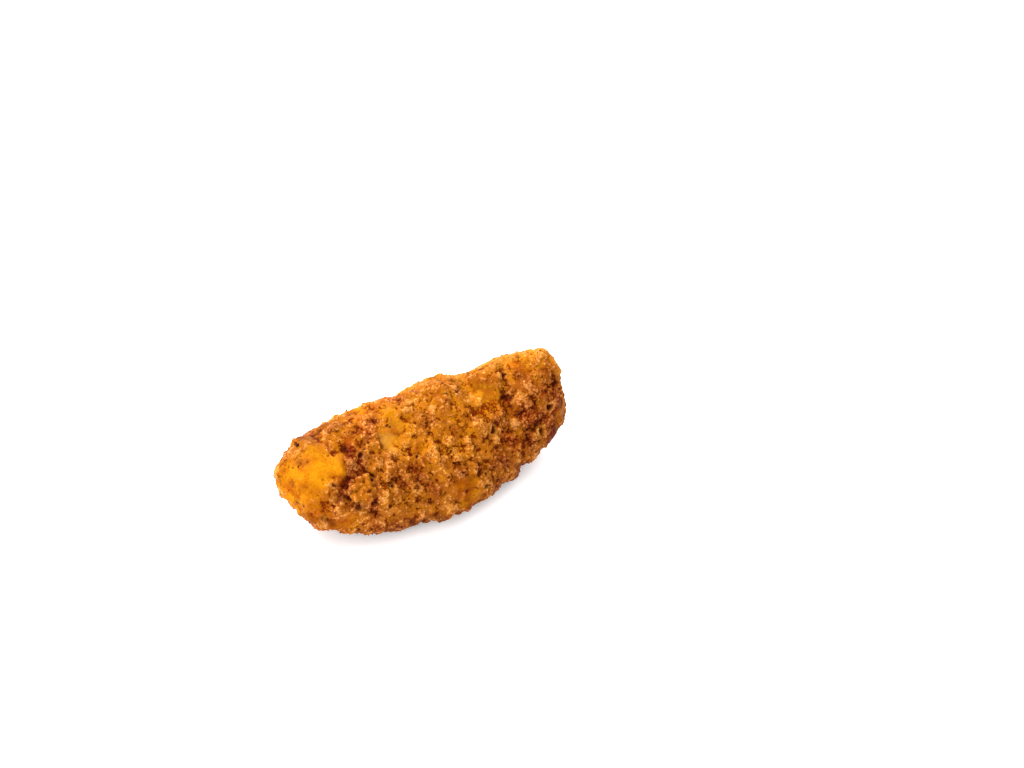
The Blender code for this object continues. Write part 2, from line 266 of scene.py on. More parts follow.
def along_folds(points):
    """Rise in millimetres, and how much browner and paler each point is for the folds near it, which paints
    shade in the creases and light on the ridges.
    """
    wander = [rough_field(points, FOLD_GRAIN, 2, 9.0 * k) for k in (1, 2, 3)]
    spots = points / MM + FOLD_WANDER * np.column_stack(wander)
    rise, brown, pale = np.zeros((3, len(points)))
    for path, half, height, browner, paler in FOLDS:
        away = np.full(len(points), np.inf)
        for start, end in zip(path[:-1], path[1:]):
            start, run = np.array(start), np.array(end) - start
            share = np.clip(((spots - start) @ run) / (run @ run), 0, 1)
            gap = spots - start - share[:, None] * run
            away = np.minimum(away, np.linalg.norm(gap, axis=1))
        rise += height * np.exp(-((away / half) ** 2))
        brown += browner * np.exp(-((away / (1.5 * half)) ** 2))
        pale += paler * np.exp(-((away / half) ** 2))
    return rise, brown, pale


def gathered(points, spots):
    """The strongest of the spots at each point, from 0 to 1."""
    strength = np.zeros(len(points))
    for middle, reach, amount in spots:
        away = np.linalg.norm(points / MM - middle, axis=1)
        strength = np.maximum(strength, amount * np.exp(-((away / reach) ** 2)))
    return strength


def browning(points):
    """How brown each point is, as the mean of the places named near it."""
    total = np.full(len(points), 1e-6)
    brown = np.full(len(points), 0.5e-6)
    for middle, reach, amount in BROWNING:
        away = np.linalg.norm(points / MM - middle, axis=1)
        weight = np.exp(-((away / reach) ** 2))
        total += weight
        brown += weight * amount
    return brown / total


def read(elements, name, width):
    """The named numbers of a mesh's parts, one row for each."""
    values = np.empty(len(elements) * width, np.float32)
    elements.foreach_get(name, values)
    return values.reshape(-1, width).astype(float)


def write(mesh, name, values):
    """Keeps one number at each vertex, for the material."""
    mesh.attributes.new(name, "FLOAT", "POINT").data.foreach_set("value", values.astype(np.float32))


def lump_kinds(count, subdivisions, bumps, seed):
    """Balls of uneven radius, about 1 from middle to skin."""
    kinds = []
    for number in range(count):
        ball = bmesh.new()
        bmesh.ops.create_icosphere(ball, subdivisions=subdivisions, radius=1.0)
        shift = Vector((seed, 7.3 * number, 3.1 * seed))
        for vert in ball.verts:
            vert.co *= 1 + sum(depth * noise.noise(vert.co * scale + shift) for scale, depth in bumps)
        kind = bpy.data.meshes.new(f"lump_{seed}_{number}")
        ball.to_mesh(kind)
        ball.free()
        kinds.append(kind)
    return kinds


def spaced(points, radii, apart):
    """The numbers of the points kept when each in turn clears its neighbours."""
    tree = kdtree.KDTree(len(points))
    for number, point in enumerate(points):
        tree.insert(point, number)
    tree.balance()
    free = np.ones(len(points), bool)
    kept = []
    for number, point in enumerate(points):
        if free[number]:
            kept.append(number)
            for _, other, _ in tree.find_range(point, apart * radii[number]):
                free[other] = False
    return np.array(kept)


def turned_axes(normals, sides, tilt, rng):
    """Three side vectors for each lump: two across the surface and one out of it, leaning by the tilt."""
    out = normals + tilt * rng.normal(size=normals.shape) * 0.5
    out /= np.linalg.norm(out, axis=1)[:, None]
    across = np.cross(out, rng.normal(size=out.shape))
    across /= np.linalg.norm(across, axis=1)[:, None]
    along = np.cross(out, across)
    return np.stack([across, along, out], axis=1) * sides[:, :, None]


def heaped(name, kinds, picks, centres, axes):
    """One mesh with a copy of a kind for every pick, and each vertex's place within its own copy."""
    heap = bmesh.new()
    for pick in picks:
        heap.from_mesh(kinds[pick])
    mesh = bpy.data.meshes.new(name)
    heap.to_mesh(mesh)
    heap.free()
    local = read(mesh.vertices, "co", 3).reshape(len(picks), -1, 3)
    placed = np.einsum("nvk,nkj->nvj", local, axes) + centres[:, None, :]
    mesh.vertices.foreach_set("co", placed.astype(np.float32).ravel())
    return mesh, local


def applied(thing):
    """A mesh with all of the object's modifiers in it."""
    bpy.context.view_layer.update()
    graph = bpy.context.evaluated_depsgraph_get()
    return bpy.data.meshes.new_from_object(thing.evaluated_get(graph))


def melted(mesh, voxel, triangles):
    """The mesh's parts run together into one closed skin of so many triangles."""
    helper = bpy.data.objects.new("melting", mesh)
    bpy.context.scene.collection.objects.link(helper)
    melt = helper.modifiers.new("melt", "REMESH")
    melt.mode = "VOXEL"
    melt.voxel_size = voxel * MM
    skin = applied(helper)
    helper.modifiers.clear()
    helper.data = skin
    thin = helper.modifiers.new("thin", "DECIMATE")
    thin.ratio = min(1.0, triangles / (2 * len(skin.polygons)))
    thin.use_collapse_triangulate = True
    result = applied(helper)
    bpy.data.objects.remove(helper)
    return result


def largest_part(mesh):
    """Drops loose scraps that the melting left."""
    skin = bmesh.new()
    skin.from_mesh(mesh)
    skin.verts.ensure_lookup_table()
    group = np.full(len(skin.verts), -1)
    sizes = []
    for start in skin.verts:
        if group[start.index] >= 0:
            continue
        number = len(sizes)
        group[start.index] = number
        front, size = [start], 1
        while front:
            for edge in front.pop().link_edges:
                for vert in edge.verts:
                    if group[vert.index] < 0:
                        group[vert.index] = number
                        front.append(vert)
                        size += 1
        sizes.append(size)
    keep = int(np.argmax(sizes))
    bmesh.ops.delete(skin, geom=[v for v in skin.verts if group[v.index] != keep], context="VERTS")
    skin.to_mesh(mesh)
    skin.free()


def relaxed(points, edges, rounds):
    """Points averaged with their neighbours again and again, which levels all that is finer."""
    count = np.bincount(edges.ravel(), minlength=len(points))[:, None]
    for _ in range(rounds):
        total = np.empty_like(points)
        for axis in range(3):
            total[:, axis] = np.bincount(edges[:, 0], points[edges[:, 1], axis], len(points))
            total[:, axis] += np.bincount(edges[:, 1], points[edges[:, 0], axis], len(points))
        points = 0.5 * points + 0.5 * total / count
    return points


rng = np.random.default_rng(KNOB_SEED)
solid = bpy.data.meshes.new("crust_solid")
shell = bmesh.new()
shell.from_mesh(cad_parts["chicken_tender"].data)
bmesh.ops.remove_doubles(shell, verts=shell.verts, dist=WELD * MM)
shell.to_mesh(solid)

places = read(solid.polygons, "center", 3)
normals = read(solid.polygons, "normal", 3)
areas = read(solid.polygons, "area", 1)[:, 0]
bare, pale = bareness(places)
chance = areas * (1 - bare) ** 2 * between(places[:, 2], KNOB_FLOOR) * between(places[:, 0], KNOB_TIP)
picks = rng.choice(len(places), KNOB_TRIES, p=chance / chance.sum())
radii = rng.uniform(*KNOB_RADII, KNOB_TRIES) * MM
centres = places[picks] + rng.normal(size=(KNOB_TRIES, 3)) * KNOB_STRAY * MM
kept = spaced(centres, radii, KNOB_APART)
picks, radii, centres = picks[kept], radii[kept], centres[kept]
sides = np.column_stack([rng.uniform(*limits, len(kept)) for limits in KNOB_SIDES]) * radii[:, None]
axes = turned_axes(normals[picks], sides, KNOB_TILT, rng)
centres = centres + normals[picks] * (radii * rng.uniform(*KNOB_SEAT, len(kept)))[:, None]
knobs = lump_kinds(KNOB_KINDS, 3, KNOB_BUMPS, 1)
knob_mesh, _ = heaped("knobs", knobs, rng.integers(0, KNOB_KINDS, len(kept)), centres, axes)
shell.from_mesh(knob_mesh)
shell.to_mesh(solid)
shell.free()

crust_mesh = melted(solid, CRUST_VOXEL, CRUST_TRIANGLES)
largest_part(crust_mesh)

# Curds on the melted skin. Wet flour draws together into rounded curds in drifts, and batter shows
# between them. Bubbles that burst in the hot fat leave pits, and painted shade darkens the underside.

SKIN_LEVELLING = 24
SWELL_GRAIN = 4.0
SWELL_DEPTH = 0.18
RIB_GRAIN = (2.6, 9.0, 9.0)
RIB_DEPTH = 0.34
DRIFT_GRAIN = (2.6, 5.0, 5.0)
CURD_LAYERS = (  # tries, least and greatest radius, room around each in radii, height in radii
    (7000, (1.0, 2.3), 0.80, 0.30),
    (8000, (0.5, 1.0), 1.15, 0.38),
)
CURD_HEIGHTS = (0.5, 1.2)
CURD_SEED = 12
LARGE_CURDS = (  # middle in millimetres, radius
    ((-29.5, 2.3, 28.2), 1.7), ((-28.8, 5.2, 29.8), 1.9), ((-24.0, 1.8, 29.5), 1.6),
    ((-24.6, -6.3, 24.8), 2.0), ((-29.8, -3.9, 27.8), 1.5), ((-36.2, -12.2, 15.8), 1.6),
    ((-29.3, -15.3, 10.0), 2.0), ((-22.4, -16.2, 17.1), 2.1), ((1.4, -12.0, 22.3), 1.3),
    ((-8.8, -10.1, 24.0), 1.5), ((32.0, -3.7, 25.1), 2.3), ((29.4, -1.0, 26.1), 1.6),
    ((39.7, -4.0, 27.1), 2.2), ((18.5, -9.3, 21.3), 1.6), ((39.7, -8.3, 20.4), 1.4),
    ((35.1, -11.5, 15.2), 1.4), ((26.9, -8.4, 19.9), 2.2), ((33.4, -9.0, 20.1), 1.6),
    ((21.6, -15.3, 10.6), 2.4), ((10.5, -18.0, 13.8), 1.7), ((8.9, -14.9, 18.6), 1.4),
    ((1.9, -7.9, 26.0), 1.5), ((-19.1, -11.0, 24.0), 1.7), ((-2.8, -7.2, 25.8), 1.4),
)
CURD_WARP = 1.05
CURD_GRAIN = 1.2
CURD_LEVEL = 0.31
CURD_NEIGHBOURS = 6
CURD_FADE = 0.85
RIB_FADE = 0.8
BLISTER_SHARES = (0.3, 0.7)
BLISTER_GRAIN = 0.9
BLISTER_DEPTH = 0.14
UNDER_SHADE_HEIGHT = 10.0
UNDER_SHADE_BROWN = 0.8
UNDER_SHADE_DARK = 0.9
NEAR_ROUNDS = 14
FAR_ROUNDS = 130
BATTER_HEIGHT = 0.22
CURD_SHARE = 0.70
CREST_SHADE_SHARE = 1.1
BULGE_SHADE_SHARE = 0.2
TONE_SHARE = 0.25
PIT_SEED = 8
PIT_TRIES = 160
PIT_RADII = (0.28, 0.55)
PIT_DEPTHS = (0.2, 0.6)
PIT_APART = 4.0
PIT_WANDER = 0.5
PIT_LIP_AT = 1.5
PIT_LIP_WIDTH = 0.4
PIT_LIP_RISE = 0.25
PIT_LIP_PALE = 0.4
PIT_SHADE_REACH = 0.9
SMALL_PIT_REACH = 2.5
SMALL_PIT_SHADE = 0.25
STAIN_WANDER = 0.6
STAIN_STRENGTH = 0.9
PITS = (  # middle, radius, depth
    ((18.3, -9.6, 21.7), 1.05, 1.4), ((35.0, -11.8, 15.0), 1.0, 1.3), ((39.9, -8.3, 20.4), 0.9, 1.2),
    ((8.4, 1.6, 32.1), 0.7, 0.9), ((12.4, 1.9, 31.4), 0.4, 0.5), ((3.2, -17.0, 16.8), 0.6, 0.9),
    ((-12.5, -16.0, 17.4), 0.95, 1.1), ((1.6, -12.2, 22.4), 0.5, 0.5), ((-8.7, -10.0, 24.0), 0.5, 0.5),
    ((10.8, -18.1, 13.5), 0.6, 0.6), ((9.6, -19.8, 10.4), 0.55, 0.8), ((10.5, -19.7, 10.1), 0.6, 0.9),
    ((11.4, -19.4, 9.8), 0.5, 0.7), ((-24.7, -3.1, 26.8), 0.8, 0.8), ((-36.3, -6.8, 22.9), 0.6, 0.4),
    ((-31.5, -13.0, 16.0), 0.9, 0.6), ((-25.0, -9.5, 21.5), 0.6, 0.5), ((-42.0, -8.6, 13.6), 0.6, 0.5),
    ((-19.5, -13.3, 19.5), 0.6, 0.8), ((16.9, 7.0, 30.3), 0.6, 0.6), ((-40.1, 9.0, 29.1), 0.7, 0.9),
    ((30.3, 3.8, 29.3), 0.7, 0.9), ((45.2, -7.0, 25.0), 0.5, 0.4),
)


def nearby(sites):
    tree = kdtree.KDTree(len(sites))
    for number, site in enumerate(sites):
        tree.insert(site, number)
    tree.balance()
    return tree


def edge_pairs(mesh):
    pairs = np.empty(len(mesh.edges) * 2, np.int32)
    mesh.edges.foreach_get("vertices", pairs)
    return pairs.reshape(-1, 2)


def curd_rise(places, sites, radii, heights, tones):
    """How high the tallest curd is at each place, and that curd's tone."""
    tree = nearby(sites)
    rise, tone = np.zeros((2, len(places)))
    for number, place in enumerate(places):
        for _, site, away in tree.find_n(place, CURD_NEIGHBOURS):
            share = away / radii[site]
            if share < 1:
                top = heights[site] * (1 - share**3)
                if top > rise[number]:
                    rise[number], tone[number] = top, tones[site]
    return rise, tone


points = read(crust_mesh.vertices, "co", 3)
edges = edge_pairs(crust_mesh)
points = relaxed(points, edges, SKIN_LEVELLING)
crust_mesh.vertices.foreach_set("co", points.astype(np.float32).ravel())
crust_mesh.update()
normals = read(crust_mesh.vertex_normals, "vector", 3)
bare, pale = bareness(points)
draws = np.random.default_rng(CURD_SEED)
drift = np.clip(0.5 + 0.9 * rough_field(points / np.array(DRIFT_GRAIN), 1.0, 3, 12.0), 0, 1)
warp = np.column_stack([rough_field(points, CURD_GRAIN, 2, 50.0 * k) for k in (1, 2, 3)]) * MM
move = SWELL_DEPTH * rough_field(points, SWELL_GRAIN, 2, 5.0)
ribs = rough_field(points / np.array(RIB_GRAIN), 1.0, 2, 33.0)
move += RIB_DEPTH * (1 - RIB_FADE * bare) * ribs
tone = np.zeros(len(points))
curd_height = np.zeros(len(points))
crust_tree = nearby(points)


def on_crust(place):
    """The crust's own point nearest to a place, both in millimetres."""
    return points[crust_tree.find(Vector(place) * MM)[1]] / MM


named = [crust_tree.find(Vector(middle) * MM)[1] for middle, _ in LARGE_CURDS]
named_radii = [radius * MM for _, radius in LARGE_CURDS]
for tries, limits, apart, height_share in CURD_LAYERS:
    chance = (1 - bare) ** 3 * (0.12 + drift)
    picks = np.append(named, draws.choice(len(points), tries, p=chance / chance.sum())).astype(int)
    radii = np.append(named_radii, draws.uniform(*limits, tries) * MM)
    named, named_radii = [], []
    kept = spaced(points[picks], radii, apart)
    picks, radii = picks[kept], radii[kept]
    heights = radii * height_share * draws.uniform(*CURD_HEIGHTS, len(kept)) / MM
    tones = draws.normal(0, 1, len(kept))
    rise, curd_tone = curd_rise(points + CURD_WARP * warp, points[picks], radii, heights, tones)
    curd_height += rise
    tone += curd_tone * rise
curd_height *= 1 - CURD_FADE * bare
move += curd_height - CURD_LEVEL * (1 - bare)
blisters = BLISTER_SHARES[0] + BLISTER_SHARES[1] * bare
move += BLISTER_DEPTH * blisters * rough_field(points, BLISTER_GRAIN, 2, 70.0)
stain_and_shade = np.zeros(len(points))
pit_wander = PIT_WANDER * warp / MM
# Painted shade: each pit's hollow is also darkened in the colour, on top of its real depth.
for middle, radius, depth in PITS:
    away = np.linalg.norm(points / MM + pit_wander - on_crust(middle), axis=1) / radius
    hollow = np.exp(-(away**4))
    lip = np.exp(-(((away - PIT_LIP_AT) / PIT_LIP_WIDTH) ** 2))
    move += -depth * hollow + PIT_LIP_RISE * depth * lip
    stain_and_shade = np.maximum(stain_and_shade, np.exp(-((away / PIT_SHADE_REACH) ** 3)))
    pale = np.maximum(pale, PIT_LIP_PALE * lip)
stains = [(on_crust(middle), reach, STAIN_STRENGTH * dark) for middle, reach, dark in STAINS]
stain_and_shade = np.maximum(stain_and_shade, gathered(points + STAIN_WANDER * warp, stains))
red = gathered(points + warp, REDDENING)
draws = np.random.default_rng(PIT_SEED)
chance = (1 - bare) ** 3 * (0.15 + np.clip(0.5 + rough_field(points, 6.0, 2, 90.0), 0, 1) ** 2)
picks = draws.choice(len(points), PIT_TRIES, p=chance / chance.sum())
pit_radii = draws.uniform(*PIT_RADII, PIT_TRIES)
kept = spaced(points[picks], pit_radii * MM, PIT_APART)
picks, pit_radii = picks[kept], pit_radii[kept]
pit_depths = draws.uniform(*PIT_DEPTHS, len(kept))
tree = nearby(points[picks])
# Painted shade darkens the hollows of the small pits as well.
for number, spot in enumerate(points + 0.25 * warp):
    _, pit, away = tree.find(spot)
    share = away / (pit_radii[pit] * MM)
    if share < SMALL_PIT_REACH:
        hollow = math.exp(-(share**3))
        move[number] -= pit_depths[pit] * hollow
        stain_and_shade[number] = max(stain_and_shade[number], SMALL_PIT_SHADE * hollow)
# Painted shade and light along the folds: browner in the sunken creases, less brown and paler on the ridges
# and along the top rim.
fold_rise, fold_shade_and_light, fold_ridge_light = along_folds(points)
move += fold_rise
for middle, reach, rise in SWELLS:
    move += rise * np.exp(-((np.linalg.norm(points / MM - middle, axis=1) / reach) ** 2))
points = points + normals * (move * MM)[:, None]
points[:, 2] = np.maximum(points[:, 2], 0.0)
crust_mesh.vertices.foreach_set("co", points.astype(np.float32).ravel())
crust_mesh.update()
normals = read(crust_mesh.vertex_normals, "vector", 3)
# Painted shade and light: the colour level is lowered in fine creases and broad hollows and raised on
# crests and broad bulges, on the bare batter too. The curd heights raise it as well, partly the curds' own
# paler colour and partly painted light on their tops; the random tones are the crust's own.
near_level = relaxed(points, edges, NEAR_ROUNDS)
far_level = relaxed(near_level, edges, FAR_ROUNDS)
near = ((points - near_level) * normals).sum(1) / MM
far = ((near_level - far_level) * normals).sum(1) / MM
height = BATTER_HEIGHT + CURD_SHARE * curd_height + CREST_SHADE_SHARE * near + BULGE_SHADE_SHARE * far
height = np.clip(height + TONE_SHARE * tone, 0, 1)
height = height * (1 - bare) + bare * np.clip(0.25 + 0.5 * near, 0, 1)
brown = np.clip(browning(points) + fold_shade_and_light + 0.10 * (1 - bare), 0, 1)
pale = np.clip(pale + fold_ridge_light, 0, 1)
# Painted shade: the crust is made browner and darker towards the bottom, where it lies in shade on the
# table.
underside_shade = np.clip(1 - points[:, 2] / (UNDER_SHADE_HEIGHT * MM), 0, 1)
brown = np.clip(brown + UNDER_SHADE_BROWN * underside_shade, 0, 1)
stain_and_shade = np.clip(stain_and_shade + UNDER_SHADE_DARK * underside_shade**2, 0, 1)
looks = {"height": height, "bare": bare, "pale": pale, "brown": brown, "red": red, "stain_and_shade": stain_and_shade}
for name, values in looks.items():
    write(crust_mesh, name, values)


def rgb(*steps):
    """A colour given in the usual 0 to 255 steps, as linear light."""
    light = [c / 255 / 12.92 if c <= 10 else ((c / 255 + 0.055) / 1.055) ** 2.4 for c in steps]
    return (*light, 1)


# Colours of the crust from its creases (0) over the batter (0.25) to the tops of the curds (1).
# The dark crease end is painted shade; the pale top end is partly the curds' own paler colour and partly
# painted light.
YOUNG = (
    (0.0, rgb(116, 38, 0)),
    (0.25, rgb(176, 112, 6)),
    (0.5, rgb(162, 90, 10)),
    (0.85, rgb(178, 114, 38)),
    (1.0, rgb(198, 138, 60)),
)
TOASTED = (
    (0.0, rgb(40, 7, 0)),
    (0.25, rgb(84, 28, 1)),
    (0.5, rgb(105, 48, 7)),
    (0.85, rgb(138, 80, 32)),
    (1.0, rgb(164, 107, 54)),
)
PALE_BATTER_AND_RIDGE_LIGHT = rgb(158, 109, 40)
# Dark colour for the real stains, and for the painted shade in the pits and along the underside.
STAIN_AND_SHADE_DARK = rgb(64, 14, 11)
REDDENED = rgb(255, 196, 120)
RELIEF = 0.15
LOOKS = ("Height", "Bare", "Pale", "Brown", "Red", "Stain_and_shade")

# Patterns in the finish, in turns to a metre, from wide drifts to the finest grit.
WIDE_NOISE = 160.0
MIDDLE_NOISE = 480.0
FINE_NOISE = 1900.0
FINEST_NOISE = 5200.0
GRAIN_CELLS = 1250.0


class Wiring:
    """Shorthand for adding and joining the nodes of one tree."""

    def __init__(self, tree):
        self.tree = tree
        self.tree.nodes.clear()

    def add(self, kind, inputs=(), **settings):
        node = self.tree.nodes.new(kind)
        for name, value in settings.items():
            setattr(node, name, value)
        for key, value in dict(inputs).items():
            if isinstance(value, bpy.types.NodeSocket):
                self.tree.links.new(value, node.inputs[key])
            else:
                node.inputs[key].default_value = value
        return node

    def math(self, operation, first, second=0.0, clamp=False):
        node = self.add("ShaderNodeMath", {0: first, 1: second}, operation=operation, use_clamp=clamp)
        return node.outputs[0]

    def swing(self, value, weight, middle=0.5):
        """How far a value is from its middle, by a weight."""
        return self.math("MULTIPLY", self.math("SUBTRACT", value, middle), weight)

    def scaled(self, value, by, plus):
        node = self.add("ShaderNodeMath", {0: value, 1: by, 2: plus}, operation="MULTIPLY_ADD")
        return node.outputs[0]

    def mix(self, share, first, second, blend="MIX"):
        inputs = {0: share, 6: first, 7: second}
        node = self.add("ShaderNodeMix", inputs, data_type="RGBA", blend_type=blend)
        return node.outputs[2]

    def noise(self, where, scale, detail=2.0, roughness=0.5):
        wants = {"Vector": where, "Scale": scale, "Detail": detail, "Roughness": roughness}
        return self.add("ShaderNodeTexNoise", wants).outputs["Fac"]

    def ramp(self, share, stops):
        node = self.add("ShaderNodeValToRGB", {0: share})
        ramp = node.color_ramp
        while len(ramp.elements) < len(stops):
            ramp.elements.new(0.5)
        for element, (place, colour) in zip(ramp.elements, stops):
            element.position = place
            element.color = colour
        return node.outputs[0]


def crust_group():
    """Colour, gloss, roughness and fine relief of fried flour, from how high, bare and brown it is, with
    painted shade in its creases and painted light on its tops.
    """
    tree = bpy.data.node_groups.new("fried_flour", "ShaderNodeTree")
    for name in LOOKS:
        tree.interface.new_socket(name, in_out="INPUT", socket_type="NodeSocketFloat")
    tree.interface.new_socket("Color", in_out="OUTPUT", socket_type="NodeSocketColor")
    for name in ("Roughness", "Gloss", "Relief"):
        tree.interface.new_socket(name, in_out="OUTPUT", socket_type="NodeSocketFloat")
    wires = Wiring(tree)
    given = wires.add("NodeGroupInput").outputs
    where = wires.add("ShaderNodeTexCoord").outputs["Object"]
    wide = wires.noise(where, WIDE_NOISE, 3.0)
    middle = wires.noise(where, MIDDLE_NOISE, 3.0)
    fine = wires.noise(where, FINE_NOISE, 3.0, 0.6)
    finest = wires.noise(where, FINEST_NOISE, 2.0)
    grains = wires.add("ShaderNodeTexVoronoi", {"Vector": where, "Scale": GRAIN_CELLS}).outputs
    grain_dome = wires.math("SUBTRACT", 1.0, wires.math("MULTIPLY", grains["Distance"], 1.4), True)
    grain_dome = wires.math("MULTIPLY", grain_dome, wires.math("SUBTRACT", 1.0, given["Bare"]))
    # Painted highlight: the tops of the fine grains are made paler in the colour, partly the grains' own
    # paler colour and partly painted glints.
    grain_highlight = wires.math("MULTIPLY", grain_dome, grain_dome)
    level = wires.math("ADD", given["Height"], wires.swing(fine, 0.8))
    level = wires.math("ADD", level, wires.swing(finest, 0.4))
    level = wires.math("ADD", level, wires.swing(grain_highlight, 0.62, 0.25))
    level = wires.math("ADD", level, wires.swing(middle, 0.6), True)
    toast = wires.math("ADD", given["Brown"], wires.swing(wide, 1.6))
    toast = wires.math("ADD", toast, wires.swing(middle, 0.8), True)
    craggy = wires.mix(toast, wires.ramp(level, YOUNG), wires.ramp(level, TOASTED))
    flat_level = wires.scaled(level, 0.5, 0.15)
    smooth = wires.mix(toast, wires.ramp(flat_level, YOUNG), wires.ramp(flat_level, TOASTED))
    colour = wires.mix(given["Bare"], craggy, smooth)
    # The crust's own reddening, made stronger where the colour level is low, which paints the warm shade of
    # the creases.
    redness_and_shade = wires.math("ADD", given["Red"], wires.swing(wide, 2.4), True)
    redness_and_shade = wires.math("MULTIPLY", redness_and_shade, wires.math("SUBTRACT", 1.15, level, True), True)
    colour = wires.mix(redness_and_shade, colour, REDDENED, "MULTIPLY")
    # Pale batter and paler pit lips, with painted light along the ridges and the top rim.
    colour = wires.mix(wires.math("MULTIPLY", given["Pale"], 0.8), colour, PALE_BATTER_AND_RIDGE_LIGHT)
    # Dark stains, with painted shade in the pits and at the underside.
    colour = wires.mix(wires.math("MULTIPLY", given["Stain_and_shade"], 0.82), colour, STAIN_AND_SHADE_DARK)
    roughness = wires.scaled(fine, 0.3, 0.35)
    gloss = wires.math("MULTIPLY", wires.math("SUBTRACT", grain_dome, 0.72, True), 6.0, True)
    gloss = wires.math("MULTIPLY", gloss, wires.math("GREATER_THAN", fine, 0.52))
    gloss = wires.math("MULTIPLY", gloss, wires.math("GREATER_THAN", given["Height"], 0.45))
    relief = wires.math("ADD", wires.math("MULTIPLY", fine, 0.45), wires.math("MULTIPLY", finest, 0.2))
    relief = wires.math("ADD", relief, wires.math("MULTIPLY", grain_dome, 0.6))
    outputs = {"Color": colour, "Roughness": roughness, "Gloss": gloss, "Relief": relief}
    wires.add("NodeGroupOutput", outputs)
    return tree


fried_flour = crust_group()


def crust_material(name, bump_depth):
    material = bpy.data.materials.new(name)
    material.use_nodes = True
    wires = Wiring(material.node_tree)
    inputs = {
        key: wires.add("ShaderNodeAttribute", attribute_name=key.lower()).outputs["Fac"]
        for key in LOOKS
    }
    group = wires.add("ShaderNodeGroup", node_tree=fried_flour)
    for key, socket in inputs.items():
        wires.tree.links.new(socket, group.inputs[key])
    bump_inputs = {"Height": group.outputs["Relief"], "Strength": 1.0, "Distance": bump_depth * MM}
    bump = wires.add("ShaderNodeBump", bump_inputs)
    shader = wires.add(
        "ShaderNodeBsdfPrincipled",
        {
            "Base Color": group.outputs["Color"],
            "Roughness": group.outputs["Roughness"],
            "Specular IOR Level": 0.02,
            "Subsurface Weight": 0.12,
            "Subsurface Radius": (1.0, 0.4, 0.1),
            "Subsurface Scale": 0.0008,
            "Coat Weight": group.outputs["Gloss"],
            "Coat Roughness": 0.16,
            "Coat IOR": 1.4,
            "Normal": bump.outputs["Normal"],
        },
    )
    wires.add("ShaderNodeOutputMaterial", {"Surface": shader.outputs[0]})
    return material


def shown(name, mesh, material):
    """Puts a finished mesh in the scene as a piece of the tender."""
    mesh.materials.clear()
    mesh.materials.append(material)
    mesh.shade_smooth()
    piece = bpy.data.objects.new(name, mesh)
    bpy.context.scene.collection.objects.link(piece)
    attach(piece, "root")
    return piece


crust_finish = crust_material("fried_crust", RELIEF)
crust = shown("tender_crust", crust_mesh, crust_finish)
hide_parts("chicken_tender")

# Clumps of flour. Curds of wet flour that stuck on late and fried crisp, paler than the crust below.
# They are knobbly, flattened lumps that sit half sunk, and none is on the smooth tip.

CLUMP_SEED = 21
CLUMP_KINDS = 18
CLUMP_BUMPS = ((1.3, 0.55), (3.0, 0.30))
CLUMP_TRIES = 9000
CLUMP_COUNT = 110
CLUMP_RADII = (0.6, 1.4)
CLUMP_APART = 1.1
CLUMP_SIDES = ((0.9, 1.4), (0.7, 1.0), (0.7, 1.0))
CLUMP_SEAT = (-0.55, -0.35)
CLUMP_TILT = 0.15
CLUMP_CURLS = (-0.25, 0.12)
CLUMP_THICKNESS = 0.32
CLUMP_FLOOR = (3.0, 7.0)
CLUMP_TIP = (-42.0, -36.0)
PIECE_HEIGHT = 0.60
PIECE_BASE_SHADE = 0.18
PIECE_TONES = 0.13
PIECE_RED = 0.6
PIECE_STAIN_AND_SHADE = 0.3
CLUSTER_GRAIN = 4.5

skin_normals = read(crust_mesh.vertex_normals, "vector", 3)


def sites(chance, tries, radii, apart, limit, seed):
    """Vertices of the crust to set loose pieces on, spaced by their size, and those sizes in metres."""
    draws = np.random.default_rng(seed)
    picks = draws.choice(len(points), tries, p=chance / chance.sum())
    sizes = draws.uniform(0, 1, tries) ** 1.6 * (radii[1] - radii[0]) + radii[0]
    kept = spaced(points[picks], sizes * MM, apart)[:limit]
    return picks[kept], sizes[kept] * MM, draws


def loose_piece(name, kinds, site_set, side_limits, seat, tilt):
    """Many small lumps on the crust as one mesh, which takes its browning, painted shade included, from the
    crust below, and is painted darker at each lump's base.
    """
    picks, sizes, draws = site_set
    count = len(picks)
    sides = np.column_stack([draws.uniform(*limits, count) for limits in side_limits]) * sizes[:, None]
    axes = turned_axes(skin_normals[picks], sides, tilt, draws)
    centres = points[picks] + skin_normals[picks] * (sizes * draws.uniform(*seat, count))[:, None]
    mesh, local = heaped(name, kinds, draws.integers(0, len(kinds), count), centres, axes)
    each = local.shape[1]
    placed = read(mesh.vertices, "co", 3)
    placed[:, 2] = np.maximum(placed[:, 2], 0.0)
    mesh.vertices.foreach_set("co", placed.astype(np.float32).ravel())
    tone = np.repeat(draws.normal(0, PIECE_TONES, count), each)
    # Painted shade and light: each lump is darker at its base and paler at its top.
    rise = local[:, :, 2].ravel()
    write(mesh, "height", np.clip(PIECE_HEIGHT + PIECE_BASE_SHADE * rise + tone, 0, 1))
    write(mesh, "brown", np.clip(np.repeat(brown[picks], each) + 0.8 * tone, 0, 1))
    write(mesh, "bare", np.zeros(count * each))
    write(mesh, "pale", np.zeros(count * each))
    write(mesh, "red", np.repeat(red[picks], each) * PIECE_RED)
    write(mesh, "stain_and_shade", np.repeat(stain_and_shade[picks], each) * PIECE_STAIN_AND_SHADE)
    return mesh


